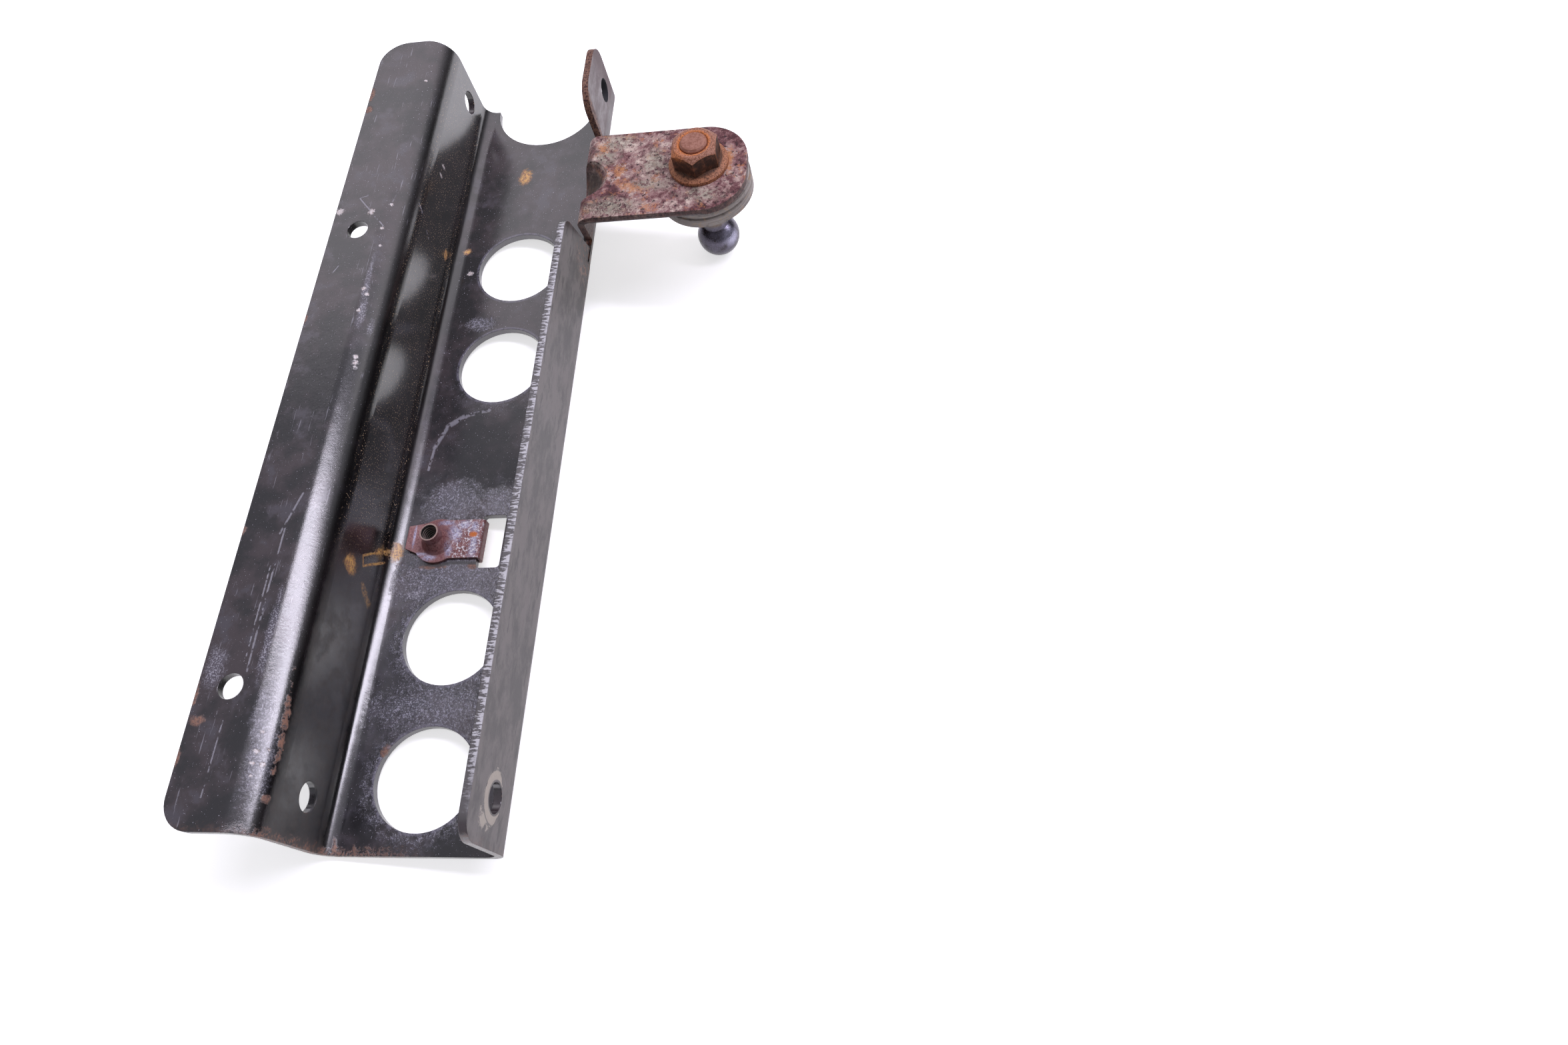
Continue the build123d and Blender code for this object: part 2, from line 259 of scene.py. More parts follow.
class Coat:
    # the plate's paint: masks of the plate's parts, and what the marks change one by one
    def __init__(self, f):
        x, y, z = f.x, f.y, f.z
        self.f = f
        slant = y + (z - 6.5) * 0.4  # the side arm's near border leans
        self.arm = (f.step(slant, *borders["armNear"]) * f.step(y, *borders["armFar"])
                    * f.step(x, *borders["armSide"]) * f.step(z, *borders["armUp"]))
        self.ear = (f.step(y, *borders["earNear"]) * f.step(z, *borders["earUp"])
                    * f.step(x, *borders["earSide"]))
        self.ragged = f.noise(0.45, 5.0, 0.72, shift=5)
        self.grain = f.noise(1.5, 4.0, 0.7, shift=13)
        self.rounded, self.edge = f.edges(paint["round"])
        self.flange = f.step(z, *borders["flangeUp"]) * f.step(x, *borders["flangeSide"])
        self.web = (f.step(x.size(), *borders["webSkin"]) * f.step(x, *borders["webSide"])
                    * f.step(z, *borders["webUp"]))
        self.floorTop = (f.step(z, *borders["floorDown"]) * f.step(x, *borders["floorSide"])
                         * f.step(f.nz, 0.7, 0.95))
        self.wallOuter = (f.step(x, *borders["wallSide"]) * f.step(f.nx, 0.7, 0.95)
                          * f.step(x, *borders["wallSkin"]))
        self.cloud = f.noise(0.028, 4.0, 0.6)
        self.patchy = f.noise(0.12, 4.0, 0.65, shift=31)
        brown = f.step(self.cloud * 0.6 + self.patchy * 0.4, 0.44, 0.56)
        self.colour = f.blend(brown, paint["black"], paint["brownish"])
        self.cover(f.step(self.patchy, 0.52, 0.68) * 0.6, paint["grey"])
        self.rough = f.step(self.cloud, 0.3, 0.7) * 0.07 + self.grain * 0.05 + paint["smooth"]
        self.dulled = self.web * f.step(y, *borders["webDull"])
        dull = 0.22 + f.step(self.patchy, 0.40, 0.60) * 0.14 + (self.ragged - 0.5) * 0.4
        self.rough = self.rough + self.wallOuter * 0.22 + self.dulled * dull
        smoother = f.step(x, *borders["flangeEnd"]) * 0.016
        self.height = self.grain * (0.024 - smoother) + self.cloud * 0.2

    def cover(self, mask, colour):
        self.colour = self.f.blend(mask, self.colour, colour)


pitting = {
    "pale": (0.10, 0.096, 0.125),
    "paintedGlint": (0.38, 0.37, 0.46),
    "holes": (42.5, 79.1),  # y of the lightening holes, both ways from the middle
    "rim": (13.9, 13.5),  # from a hole's middle to the painted highlight line round it
    "wide": (19, 13.2),  # and to the pits
    "fade": (60, -20),  # y where the pits set in
    "patches": [  # centre and reach
        ((-2, -25.5, 2), (17, 6, 2)), ((-6, -3, 2), (7, 5.5, 2)), ((7, -4, 2), (6, 4.5, 2)),
        ((0, -61, 2), (16, 5, 2)), ((-9, 58, 2), (4, 2, 2)),
    ],
}


def addPitting(coat):
    # pitted paint round the clip and the holes, with painted glints and a painted highlight line
    # round each hole
    f = coat.f
    away = []
    for middle in pitting["holes"]:
        offset = f.make("ShaderNodeCombineXYZ", sockets={0: f.x, 1: f.y.size() - middle})
        away.append(f.vector("LENGTH", offset, output=1))
    rim = away[0].least(away[1])
    line = f.step(rim, *pitting["rim"]) * coat.floorTop * f.step(coat.ragged, 0.35, 0.55)
    pitted = f.step(rim, *pitting["wide"]) * f.step(f.y, *pitting["fade"])
    pitted = pitted * f.step(coat.ragged, 0.42, 0.62)
    pitted = pitted.most(f.blots(pitting["patches"], 0.6, coat.ragged, 3.2)) * coat.floorTop
    coat.pits = f.noise(2.4, 3.0, 0.75, shift=53)
    coat.cover(pitted * 0.4, pitting["pale"])
    # painted glints: pale specks for light caught by the pitted paint
    coat.cover(f.step(coat.pits, 0.53, 0.60) * pitted * 0.85, pitting["paintedGlint"])
    # painted highlight: a thin lilac line round the lightening holes' rims
    coat.cover(line * 0.5, paint["lilac"])
    coat.rough = coat.rough + pitted * 0.06
    coat.height = coat.height + coat.pits * pitted * 0.10


dust = {"film": (0.040, 0.035, 0.032), "specks": (0.46, 0.34, 0.22), "specksFrom": (-40, -10)}


def addDustAndWebShade(coat):
    # painted shade on the web's face towards the wall, a film on the outer face of the wall, pale
    # specks on the web, flange and floor
    f = coat.f
    # painted shade: the web's face towards the wall is made near black
    webShadeMask = f.step(f.nx, 0.5, 0.85) * f.step(f.x, *borders["webSide"])
    coat.cover(webShadeMask * 0.85, paint["deep"])
    coat.cover(coat.dulled * f.step(coat.ragged, 0.42, 0.60) * 0.6, paint["umber"])
    streaks = f.noise(0.35, 4.0, 0.6, (1, 0.35, 1), 3)
    coat.cover(coat.wallOuter * f.step(streaks, -0.3, 0.8), dust["film"])
    speck = f.noise(2.6, 2.0, 0.5, shift=47)
    specks = f.step(speck, 0.63, 0.67) * coat.web * f.step(coat.patchy, 0.36, 0.48)
    coat.cover(specks * f.step(f.y, *dust["specksFrom"]), dust["specks"])
    flat = (coat.flange * 0.8).most(coat.floorTop * 0.8)
    coat.cover(f.step(speck, 0.70, 0.73) * flat, paint["bare"])


wear = {
    "chipDark": (0.40, 0.30, 0.26),
    "chipPale": (0.64, 0.60, 0.60),
    "hazy": [  # centre and reach
        ((-25.5, -72, 31.5), (2.5, 7, 2)), ((-24.5, -81, 31), (2.5, 9, 3)),
        ((-25.0, 36.5, 31.5), (0.6, 2.5, 2)), ((-29.4, -53, 32.2), (0.9, 9.5, 1)),
        ((-41.0, -60, 32.2), (2.2, 4.5, 1)), ((-12.3, -30, 2), (2.6, 1.4, 1)),
        ((-27.8, 41, 32.2), (1.0, 4.5, 1)), ((-28.4, 52, 32.2), (0.7, 7, 1)),
    ],
    "chips": [  # centre and size
        ((-25.6, -75.1, 31.6), 0.5), ((-25.8, -79.7, 31.6), 0.6), ((-23.9, -78.9, 30.2), 0.4),
        ((-26.0, -82.3, 31.6), 0.45), ((-24.2, -82.3, 30.4), 0.55), ((-25.8, -85.1, 31.6), 0.4),
        ((-28.9, 48.9, 32.2), 0.6), ((-27.7, 47.0, 32), 0.5), ((-28.7, 41.4, 32.2), 0.5),
        ((-26.4, 26.4, 31.8), 0.6), ((-26.2, 24.6, 31.8), 0.7), ((-25.9, 23.1, 31.8), 0.5),
        ((-26.9, 130.2, 32), 0.5), ((-22.0, 105.9, 19.6), 0.6), ((-22.0, 102.0, 19.8), 0.5),
        ((-15.9, 77.8, 2), 0.8), ((-27.5, 79.5, 32), 0.5), ((-32.9, 76.9, 32.2), 0.9),
        ((-42.9, 77.8, 32.2), 1.1), ((-28.4, 70.6, 32.2), 0.5), ((-27.6, 64.2, 32.2), 0.4),
    ],
    "scratches": [  # start, end and width
        ((-37.7, 82.5, 32.2), (-34.4, 83.6, 32.2), 0.16),
        ((-37.7, 82.5, 32.2), (-33.5, 77.6, 32.2), 0.2),
        ((-31.3, 75.0, 32.2), (-28.1, 71.4, 32.1), 0.2),
        ((-27.3, 60.5, 32), (-25.7, 51.3, 31.6), 0.22),
        ((-32.8, -23.2, 32.2), (-32.9, -42.9, 32.2), 0.2),
        ((-32.9, -42.9, 32.2), (-32.6, -61.3, 32.2), 0.22),
        ((-33.9, -34.9, 32.2), (-33.8, -57.6, 32.2), 0.16),
        ((-30.5, -15.1, 32.2), (-33.8, -26.1, 32.2), 0.25),
        ((-35.2, -73, 32.2), (-35.4, -90, 32.2), 0.16),
        ((-28.5, 43.6, 32.2), (-26.0, 40.8, 31.8), 0.2),
        ((-39.6, 55.2, 32.2), (-38.4, 57.5, 32.2), 0.18),
        ((-26.6, 84.3, 31.8), (-27.5, 79.5, 32), 0.25),
        ((-15.9, 7.7, 2), (-15.4, 15.0, 2), 0.35),
        ((-15.4, 15.0, 2), (-12.6, 22.0, 2), 0.55),
        ((-12.6, 22.0, 2), (-7.7, 25.3, 2), 0.75),
        ((-7.7, 25.3, 2), (-1.0, 26.8, 2), 0.5),
        ((-22.0, 84.4, 26.9), (-22.0, 82.5, 24.5), 0.35),
        ((-22.0, 79.4, 20.5), (-22.0, 78.0, 18.6), 0.2),
    ],
}


def addWear(coat):
    # hazy wear, chips and scratches
    f = coat.f
    worn = f.blots(wear["hazy"], 0.6, coat.ragged, 2.4)
    coat.cover(worn * 0.25, paint["lilac"])
    coat.cover(worn * f.step(coat.pits, 0.52, 0.58) * 0.8, paint["bare"])
    coat.rough = coat.rough + worn * 0.03
    chips = [(centre, (size, size, 1)) for centre, size in wear["chips"]]
    chip = f.blots(chips, 0.3, coat.grain, 3.2)
    coat.cover(chip, f.blend(f.step(coat.pits, 0.42, 0.50), wear["chipDark"], wear["chipPale"]))
    coat.height = coat.height - chip * 0.03
    broken = f.step(f.noise(0.7, 2.0, 0.5, shift=9), 0.40, 0.52)
    scratch = f.strokes(wear["scratches"], 0.5, coat.grain, 0.8) * broken
    coat.cover(scratch * 0.5, paint["bare"])
    coat.height = coat.height - scratch * 0.03
    fine = f.step(f.noise(0.9, 2.0, 0.4, (3.0, 0.12, 1), 21), 0.67, 0.72) * coat.flange
    coat.cover(fine * f.step(coat.patchy, 0.46, 0.56) * 0.35, paint["bare"])


stains = {
    "tan": (0.74, 0.42, 0.12),
    "spots": [  # centre and reach
        ((-3.6, 116.8, 2), (1.9, 3.0, 1)), ((-18.4, 86.7, 2), (1.1, 1.1, 1)),
        ((-22.0, -28.6, 18.6), (1, 2.2, 2.6)), ((-19.6, -18.2, 2.9), (1.5, 3.0, 1.7)),
        ((-22.0, 81.0, 7.7), (1, 2.0, 0.9)),
    ],
    "drips": [  # start, end and width
        ((-22, -24.2, 14.2), (-22, -18.6, 4.6), 0.3), ((-22, -26.6, 13.1), (-22, -21.6, 3.6), 0.3),
        ((-22, -24.2, 14.2), (-22, -26.6, 13.1), 0.2), ((-22, -20.6, 8.2), (-21, -18.4, 4.2), 0.8),
    ],
    "faint": ((-22, -31.5, 11.5), (-22, -35.0, 7.0), 0.8),  # a fainter drip
}


def addStains(coat):
    # tan drips and spots
    f = coat.f
    messy = coat.ragged * 0.5 + coat.grain * 0.5
    stain = f.strokes(stains["drips"], 0.7, messy, 6.0)
    stain = stain.most(f.stroke(*stains["faint"], 0.7, coat.ragged, 4.0) * 0.35)
    stain = stain * f.step(coat.grain, 0.34, 0.5)
    stain = stain.most(f.blots(stains["spots"], 0.35, messy, 3.6))
    coat.cover(stain, f.blend(f.step(coat.grain, 0.40, 0.56), paint["rust"], stains["tan"]))
    coat.matt = stain * 0.8


crossHole = {
    "middle": (24, -86, 13.6),
    "bore": (3.9, 4.2),
    "torn": (6.5, 6.2),  # reach of the chips round it
    "below": (13.6, 9.0),  # heights under which they reach less far
    "pressed": 6.3,  # radius of the mark that a washer has left
    "mark": (0.05, 0.045, 0.045),
    "dark": (0.30, 0.25, 0.20),
    "beige": (0.44, 0.38, 0.31),
    "flap": ((24, -91.6, 18.0), (1, 2.0, 2.6)),  # a chip above it: centre and reach
}


def addCrossHoleMarks(coat):
    # beige chips and a pressed ring round the near cross hole
    f = coat.f
    away = f.ring(crossHole["middle"], True)
    torn = away + (coat.ragged - 0.5) * 4 + f.step(f.z, *crossHole["below"]) * 3.4
    beige = f.step(torn, *crossHole["torn"]) * f.step(away, *crossHole["bore"])
    beige = beige.most(f.blot(*crossHole["flap"], 0.4, coat.ragged, 4.0)) * coat.wallOuter
    coat.cover(beige * 0.9, f.blend(coat.grain, crossHole["dark"], crossHole["beige"]))
    pressed = f.step((away - crossHole["pressed"]).size(), 0.35, 0.1) * coat.wallOuter
    coat.cover(pressed * 0.75, crossHole["mark"])
    coat.height = coat.height - pressed * 0.08
    coat.matt = coat.matt.most(beige * 0.8)
    coat.beige = beige


rustMarks = {
    "farWall": ((23.5, 74, 8), (3, 9, 9)),
    "nearEnd": (-95.0, -97.5),  # y where the rust of the near end sets in
    "acrossFloor": (8, -15),  # x where it does so on the floor, the wall and the web
    "onWall": (20, 21.5),
    "onWeb": (-27, -23),
    "streaks": [  # start, end and width
        ((-22.6, -59, 29.4), (-22.5, -68, 28.4), 0.65),
        ((-22.5, -68, 28.4), (-22.4, -78, 27.6), 0.8),
        ((-22.4, -78, 27.6), (-22.4, -84, 27.9), 0.65),
        ((-19.5, -97, 2.2), (-19.5, -93, 3.4), 0.6),
    ],
    "blots": [  # centre and reach
        ((-41.6, -72.9, 32.2), (1.8, 1.1, 1)), ((-43.6, 125.0, 32), (0.9, 2.2, 2)),
        ((-42.9, 118.9, 32), (1.2, 1.2, 2)), ((-44.0, -25.0, 32), (0.8, 1.3, 2)),
        ((-44.0, 39.5, 32), (0.7, 1.3, 2)), ((-44.0, -66.7, 32), (0.7, 2.5, 2)),
        ((-44.1, -81.0, 32), (0.7, 2.2, 2)), ((-22.6, -89.5, 28.2), (1, 0.9, 1)),
        ((-8.8, -22.3, 2), (3.4, 0.7, 1)), ((2.4, -22.4, 2), (1.2, 0.9, 1)),
        ((-11.4, -72.5, 2), (1.2, 1.6, 1)),
    ],
}


def addRust(coat):
    # rust on the near end and the free edges, with streaks and blots
    f = coat.f
    nearEnd = f.step(f.y + (coat.ragged - 0.5) * 9, *rustMarks["nearEnd"])
    across = f.step(f.x, *rustMarks["acrossFloor"])
    nearEnd = nearEnd * across.most(f.step(f.x, *rustMarks["onWall"]) * 0.4)
    nearEnd = nearEnd * (f.step(f.x, *rustMarks["onWeb"]) * 0.75 + 0.25)
    farWall = f.blot(*rustMarks["farWall"], 0.7, coat.ragged, 2.0) * f.step(coat.ragged, 0.45, 0.6)
    edgeBits = f.step(coat.ragged, 0.56, 0.64) * coat.edge * f.step(coat.patchy, 0.45, 0.6)
    rust = (nearEnd * f.step(coat.grain, 0.4, 0.55) * 0.8).most(farWall).most(edgeBits)
    streak = f.strokes(rustMarks["streaks"], 0.4, coat.ragged, 5.0)
    rust = rust.most(streak * f.step(coat.grain, 0.36, 0.46))
    rust = rust.most(f.blots(rustMarks["blots"], 0.4, coat.ragged, 2.6))
    coat.cover(rust, f.blend(f.step(coat.grain, 0.38, 0.6), paint["darkRust"], paint["rust"]))
    coat.height = coat.height + rust * coat.grain * 0.1
    coat.matt = coat.matt.most(rust * 0.9)
    coat.rust = rust


darkMarks = {
    "black": (0.003, 0.003, 0.003),
    "lines": [  # painted shadow along the clip's near edge: start, end and width
        ((-12.5, -21.5, 2), (-7.5, -22.1, 2), 0.5), ((-7.5, -22.1, 2), (-4.0, -21.4, 2), 0.5),
        ((-4.0, -21.4, 2), (4.0, -21.6, 2), 0.5),
    ],
}


def addClipShadow(coat):
    # painted shadow: a dark line on the floor along the clip's near edge
    clipShadowLine = coat.f.strokes(darkMarks["lines"], 0.5, None, 0)
    # painted shadow under the clip's near edge
    coat.cover(clipShadowLine * 0.9, darkMarks["black"])
    coat.matt = coat.matt.most(clipShadowLine * 0.6)


wallTop = {"dark": (0.050, 0.043, 0.044), "pale": (0.54, 0.53, 0.56), "smoothEnd": (-92, -78)}


def addWallTop(coat):
    # the chewed top of the long wall, whose pale teeth are partly a painted highlight
    f = coat.f
    top = (f.step(f.z, *borders["topUp"]) * f.step(f.y, *borders["topNear"])
           * f.step(f.x, *borders["topSide"]))
    teeth = f.noise(1.0, 3.0, 0.7, (0.4, 1.9, 1), 17) + (f.x - 23) * 0.07
    chewedAndGlinting = f.step(teeth, 0.48, 0.55)
    chewedAndGlinting = chewedAndGlinting * f.step(f.y + (coat.ragged - 0.5) * 20, *wallTop["smoothEnd"])
    # pale teeth on a chewed edge, partly painted highlight glints
    coat.cover(top, f.blend(chewedAndGlinting, wallTop["dark"], wallTop["pale"]))
    coat.rough = coat.rough + top * 0.25
    coat.height = coat.height + top * chewedAndGlinting * 0.04


armRust = {
    "stops": [
        (0.38, (0.075, 0.022, 0.026)), (0.45, (0.185, 0.075, 0.078)), (0.50, (0.30, 0.165, 0.160)),
        (0.56, (0.42, 0.285, 0.255)), (0.65, (0.66, 0.53, 0.45)),
    ],
    "warm": (0.46, 0.165, 0.060),
    "maroon": (0.115, 0.036, 0.044),
    "pits": (0.030, 0.011, 0.013),
    "orange": (0.56, 0.24, 0.09),
    "coating": ((0.28, 0.26, 0.20), (0.50, 0.47, 0.37)),
    "dartShade": ((0.02, 0.02, 0.018), (0.12, 0.105, 0.085)),
    "side": ((0.020, 0.009, 0.008), (0.11, 0.055, 0.042)),
    "edge": (0.40, 0.27, 0.21),
    "dart": ((27.2, 92, 20.5), (5.0, 6.5, 6.5)),  # the dent in the arm's fold, painted in shade
    "coated": [  # centre and reach
        ((47.5, 95, 24.5), (3.5, 5, 4)), ((36, 104, 24), (5, 2.6, 4)),
        ((48, 86.5, 24.5), (5, 2.2, 4)), ((37, 79, 24), (7, 2.4, 4)),
        ((62, 81.5, 24.5), (5, 2.4, 4)), ((32, 98.5, 24.5), (3, 2.4, 4)),
    ],
    "orangePatches": [
        ((31, 102.3, 24), (2.0, 1.8, 4)), ((39.5, 87.5, 24.5), (3.0, 1.8, 3)),
        ((42, 85.8, 24.5), (1.6, 1.4, 3)), ((69.8, 93.7, 24.5), (1.0, 4, 2)),
        ((37, 93, 24.5), (1.5, 2, 2)),
    ],
}
earFace = {
    "pale": (0.35, 0.325, 0.315),
    "dark": (0.165, 0.130, 0.130),
    "tip": (0.10, 0.060, 0.062),
    "border": ((0.055, 0.022, 0.020), (0.24, 0.125, 0.085)),
    "bore": (0.03, 0.03, 0.035),
    "hole": (24, 140.1, 13.6),
    "holeReach": (3.75, 3.65),
    "tipFrom": (135, 145),  # y where the darker tip sets in
    "borderFrom": (125.2, 123.2),
}
wallFace = {
    "pale": (0.160, 0.136, 0.130),
    "dark": (0.046, 0.038, 0.038),
    "scars": (0.022, 0.018, 0.018),
    "end": (118, 112),  # y between the ear and the long wall
}


def armColour(coat, blotchy, crumbs, flake):
    # flaky rust with grey-green remains of a coating, with painted shade in the fold's dent and on
    # faces that don't face up
    f = coat.f
    tone = blotchy * 0.78 + crumbs * 0.26 + flake * 0.12 - 0.065 - f.step(f.x, 36, 54) * 0.035
    colour = f.ramp(tone, armRust["stops"])
    warm = f.step(f.noise(0.24, 5.0, 0.75, shift=97), 0.54, 0.60) * f.step(crumbs, 0.42, 0.52)
    colour = f.blend(warm * 0.75, colour, armRust["warm"])
    coated = f.blots(armRust["coated"], 0.8, blotchy, 4.0) * f.step(crumbs, 0.40, 0.47)
    colour = f.blend(coated * 0.75, colour, f.blend(flake, *armRust["coating"]))
    maroon = f.step(f.noise(0.36, 5.0, 0.72, shift=61), 0.54, 0.59) * f.step(crumbs, 0.62, 0.50)
    colour = f.blend(maroon * 0.75, colour, armRust["maroon"])
    pits = f.step(f.noise(0.85, 3.0, 0.7, shift=29), 0.43, 0.37)
    colour = f.blend(pits * 0.9, colour, armRust["pits"])
    orange = f.blots(armRust["orangePatches"], 0.6, crumbs, 5.0) * f.step(blotchy, 0.40, 0.52)
    colour = f.blend(orange * 0.75, colour, armRust["orange"])
    # painted shade in the dent of the arm's fold
    dart = f.blot(*armRust["dart"], 0.45, blotchy, 2.0)
    colour = f.blend(dart * 0.85, colour, f.blend(crumbs, *armRust["dartShade"]))
    # painted shade: the arm's faces that don't face up, its edges, fold and underside, are made
    # darker
    side = f.blend(f.step(crumbs, 0.4, 0.62), *armRust["side"])
    colour = f.blend(f.step(f.nz, 0.5, 0.1) * 0.85, colour, side)
    return f.blend(coat.edge * f.step(crumbs, 0.45, 0.55) * 0.5, colour, armRust["edge"])


def sideColour(coat):
    # the ear with its rusty border, and the dull grey outer face of the long wall
    f = coat.f
    smear = f.noise(0.16, 5.0, 0.7, (1, 0.5, 1), 3)
    face = f.blend(f.step(smear, 0.33, 0.67), earFace["pale"], earFace["dark"])
    tip = f.step(f.y + (coat.ragged - 0.5) * 8, *earFace["tipFrom"])
    face = f.blend(tip * 0.8, face, earFace["tip"])
    leaning = f.y + (coat.ragged - 0.5) * 3 - (f.z - 10) * 0.12
    border = f.step(leaning, *earFace["borderFrom"])
    border = border.most(f.step(coat.edge + (coat.ragged - 0.5) * 1.2, 0.35, 0.6))
    border = border.most(f.step(f.nx.size(), 0.8, 0.6))
    face = f.blend(border, face, f.blend(f.step(coat.grain, 0.42, 0.58), *earFace["border"]))
    bore = f.step(f.ring(earFace["hole"], True), *earFace["holeReach"])
    face = f.blend(bore, face, earFace["bore"])
    wall = f.blend(f.step(smear, 0.40, 0.62), wallFace["pale"], wallFace["dark"])
    scars = f.step(f.noise(0.5, 3.0, 0.6, (1, 0.25, 1.4), 51), 0.40, 0.34)
    wall = f.blend(scars * 0.8, wall, wallFace["scars"])
    return f.blend(f.step(f.y, *wallFace["end"]), face, wall)


def dullShader(coat):
    # the side arm, the ear and the outer face of the wall, which have no gloss
    f = coat.f
    blotchy = f.noise(0.17, 6.0, 0.66, shift=71)
    crumbs = f.noise(1.0, 5.0, 0.78, shift=83)
    flake = f.flakes(0.7, 2.2)
    colour = armColour(coat, blotchy, crumbs, flake)
    colour = f.blend(coat.arm, sideColour(coat), colour)
    height = blotchy * 0.26 + crumbs * 0.20 + flake * 0.05
    return f.shade({
        "Base Color": colour,
        "Roughness": 0.58,
        "IOR": 1.4,
        "Normal": f.bump(height * (0.3 + coat.arm * 0.7), coat.rounded),
    })


def paintFinish():
    f = Finish("blackPaint")
    coat = Coat(f)
    addPitting(coat)
    addDustAndWebShade(coat)
    addWear(coat)
    addStains(coat)
    addCrossHoleMarks(coat)
    addRust(coat)
    addClipShadow(coat)
    addWallTop(coat)
    glossy = f.shade({
        "Base Color": coat.colour,
        "Roughness": coat.rough * (1 - coat.matt) + coat.matt * 0.62,
        "IOR": paint["index"],
        "Normal": f.bump(coat.height, coat.rounded),
    })
    dull = dullShader(coat)
    bare = coat.wallOuter * f.step(coat.beige + coat.rust, 0.6, 0.2) * 0.6
    share = coat.arm.most(coat.ear).most(bare)
    return f.finish(f.make("ShaderNodeMixShader", sockets={0: share, 1: glossy, 2: dull}))


nut = {
    "dark": (0.018, 0.009, 0.006),
    "brown": (0.115, 0.042, 0.022),
    "middling": (0.23, 0.09, 0.045),
    "dusty": (0.50, 0.25, 0.175),
    "orange": (0.60, 0.20, 0.06),
    "skirt": (0.50, 0.215, 0.115),
    "top": (0.20, 0.075, 0.04),
    "middle": (60.9, 93.1, 0),
    "cornerRustAndHighlight": ((55.5, 88.0, 32.0), (3.0, 3.6, 1.4)),
    "skirtRise": (27.2, 26.2),  # heights between which each mark sets in
    "sideRise": (26.0, 26.8),
    "topRise": (29.5, 30.5),
    "boreRise": (31.4, 32.0),
    "boreReach": (5.3, 4.6),
    "creviceShade": 26.6,
    "creviceShadeReach": (8.2, 7.2),
    "round": 0.35,
}


def nutFinish():
    f = Finish("nutRust")
    ragged = f.noise(0.5, 5.0, 0.7, shift=11)
    grain = f.noise(2.2, 4.0, 0.7, shift=5)
    rounded, edge = f.edges(nut["round"])
    colour = f.ramp(ragged * 0.6 + grain * 0.4, [
        (0.36, nut["dark"]), (0.47, nut["brown"]), (0.57, nut["middling"]), (0.70, nut["dusty"]),
    ])
    skirt = f.step(f.z, *nut["skirtRise"])
    colour = f.blend(skirt * f.step(grain, 0.38, 0.54) * 0.8, colour, nut["skirt"])
    # painted shade: the hex's upright sides are made darker than its top
    side = f.step(f.nz.size(), 0.3, 0.1) * f.step(f.z, *nut["sideRise"])
    patches = f.blend(f.step(ragged, 0.5, 0.66), nut["dark"], nut["brown"])
    colour = f.blend(side * 0.75, colour, patches)
    top = f.step(f.nz, 0.35, 0.7) * f.step(f.z, *nut["topRise"])
    crust = f.blend(f.step(grain, 0.35, 0.62), nut["top"], nut["dusty"])
    colour = f.blend(top * 0.75, colour, crust)
    away = f.ring(nut["middle"])
    bore = f.step(away, *nut["boreReach"]) * f.step(f.z, *nut["boreRise"])
    # orange rust on the edges, the bore's rim and one top corner, partly a painted highlight
    corner = f.blot(*nut["cornerRustAndHighlight"], 0.6, ragged, 1.4)
    rustAndHighlight = (edge * 0.75).most(bore).most(corner * 0.7) * f.step(grain, 0.35, 0.55)
    colour = f.blend(rustAndHighlight, colour, nut["orange"])
    # painted shade in the crease where the hex meets the nut's flange
    creviceShade = f.step((f.z - nut["creviceShade"]).size(), 0.6, 0.1)
    creviceShade = creviceShade * f.step(away, *nut["creviceShadeReach"])
    colour = f.blend(creviceShade * 0.7, colour, nut["dark"])
    return f.finish(f.shade({
        "Base Color": colour,
        "Roughness": grain * 0.25 + 0.42,
        "Specular IOR Level": 0.28,
        "Normal": f.bump(ragged * 0.12 + grain * 0.06, rounded),
    }))


stud = {
    "ball": (0.11, 0.10, 0.13),
    "ballDark": (0.060, 0.053, 0.060),
    "paintedHighlight": (0.46, 0.45, 0.58),
    "paintedHighlightPlace": ((65.9, 89.2, -2.0), (2.3, 2.4, 2.3)),
    "disc": (0.33, 0.29, 0.255),
    "turned": (0.16, 0.135, 0.12),
    "darkMarks": (0.10, 0.075, 0.06),
    "rust": (0.42, 0.27, 0.15),
    "collar": ((0.10, 0.085, 0.06), (0.40, 0.27, 0.13)),
    "end": ((0.24, 0.09, 0.055), (0.37, 0.17, 0.12)),
    "endEdge": (0.66, 0.30, 0.16),
    "ballTop": 2.5,
    "collarTop": 12.6,
    "endBottom": 23.5,
    "round": 0.3,
}


